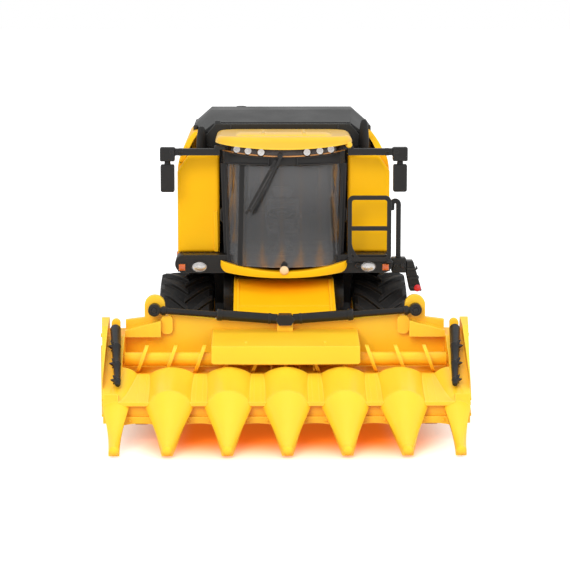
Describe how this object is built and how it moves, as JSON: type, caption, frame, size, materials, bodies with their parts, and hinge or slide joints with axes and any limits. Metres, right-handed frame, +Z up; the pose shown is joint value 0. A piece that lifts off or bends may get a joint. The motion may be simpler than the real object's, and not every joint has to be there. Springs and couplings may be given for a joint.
{
  "type": "toy combine harvester",
  "caption": "Toy combine harvester with a row-crop header, glazed cab, stowed unloading auger and turning wheels.",
  "frame": {"origin": "bottom centre of the bounding box, on the floor under the middle of the toy", "axes": "+Z up, the machine faces -Y with its header in front, +X is the machine's own left side"},
  "size_m": [0.0796, 0.172, 0.063],
  "materials": {
    "body_paint": "glossy golden yellow enamel",
    "header_plastic": "semi-gloss yellow moulded plastic",
    "black_plastic": "satin black moulded plastic",
    "dark_band": "gloss dark brown",
    "cover_plastic": "satin charcoal moulded plastic",
    "clear_glass": "clear tinted plastic",
    "tyre_rubber": "matt black rubber-like plastic",
    "rim_paint": "glossy golden yellow enamel",
    "axle_steel": "bright steel",
    "lamp_silver": "bright silver",
    "amber": "glossy amber",
    "red": "glossy red",
    "seat_plastic": "satin dark grey",
    "tube_paint": "glossy golden yellow enamel"
  },
  "bodies": {
    "machine": {"auger_turret": "black_plastic", "body_core": "black_plastic", "cab_floor": "black_plastic", "cab_frame": "black_plastic", "cab_glass": "clear_glass", "cab_roof": "body_paint", "cab_trim": "body_paint", "chassis": "black_plastic", "engine_deck": "cover_plastic", "exhaust": "black_plastic", "front_axle": "axle_steel", "front_panel_left": "body_paint", "front_panel_right": "body_paint", "header_hinge_pin": "axle_steel", "headlights": "lamp_silver", "indicators": "amber", "ladder": "black_plastic", "ladder_rail": "black_plastic", "light_band": "dark_band", "lower_guard_left": "black_plastic", "lower_guard_right": "black_plastic", "mirror_left": "black_plastic", "mirror_right": "black_plastic", "platform": "black_plastic", "platform_rail": "black_plastic", "radiator_screen": "black_plastic", "rear_axle": "axle_steel", "seat": "seat_plastic", "side_panel_left": "body_paint", "side_panel_right": "body_paint", "steering_column": "black_plastic", "straw_chopper": "black_plastic", "straw_hood": "body_paint", "tail_lights": "red", "tank_cover": "cover_plastic", "tank_posts": "black_plastic", "tow_hitch": "black_plastic", "wiper": "black_plastic", "work_lights": "lamp_silver"},
    "front_left_wheel": {"front_left_tyre": "tyre_rubber", "front_left_rim": "rim_paint"},
    "front_right_wheel": {"front_right_tyre": "tyre_rubber", "front_right_rim": "rim_paint"},
    "rear_left_wheel": {"rear_left_tyre": "tyre_rubber", "rear_left_rim": "rim_paint"},
    "rear_right_wheel": {"rear_right_tyre": "tyre_rubber", "rear_right_rim": "rim_paint"},
    "header": {"feeder_house": "body_paint", "header_frame": "header_plastic", "row_decks": "header_plastic", "snouts": "header_plastic", "end_divider_left": "header_plastic", "end_divider_right": "header_plastic", "auger_cover": "header_plastic", "fold_cylinders": "black_plastic", "end_augers": "black_plastic"},
    "cross_auger": {"cross_auger": "header_plastic"},
    "unloading_auger": {"unloading_tube": "tube_paint", "unloading_spout": "black_plastic"}
  },
  "joints": [
    {"name": "header_lift", "type": "hinge", "parent": "machine", "child": "header", "pos_m": [0, -0.016, 0.0226], "axis": [-1, 0, 0], "range_deg": [0, 8]},
    {"name": "cross_auger_spin", "type": "hinge", "parent": "header", "child": "cross_auger", "pos_m": [0, -0.053, 0.0143], "axis": [1, 0, 0], "continuous": true},
    {"name": "unloading_auger_swing", "type": "hinge", "parent": "machine", "child": "unloading_auger", "pos_m": [0.0222, 0.004, 0.0465], "axis": [0, 0, -1], "range_deg": [0, 90]},
    {"name": "front_left_wheel_spin", "type": "hinge", "parent": "machine", "child": "front_left_wheel", "pos_m": [0.02, -0.01, 0.0134], "axis": [1, 0, 0], "continuous": true},
    {"name": "front_right_wheel_spin", "type": "hinge", "parent": "machine", "child": "front_right_wheel", "pos_m": [-0.02, -0.01, 0.0134], "axis": [1, 0, 0], "continuous": true},
    {"name": "rear_left_wheel_spin", "type": "hinge", "parent": "machine", "child": "rear_left_wheel", "pos_m": [0.02, 0.048, 0.01], "axis": [1, 0, 0], "continuous": true},
    {"name": "rear_right_wheel_spin", "type": "hinge", "parent": "machine", "child": "rear_right_wheel", "pos_m": [-0.02, 0.048, 0.01], "axis": [1, 0, 0], "continuous": true}
  ]
}
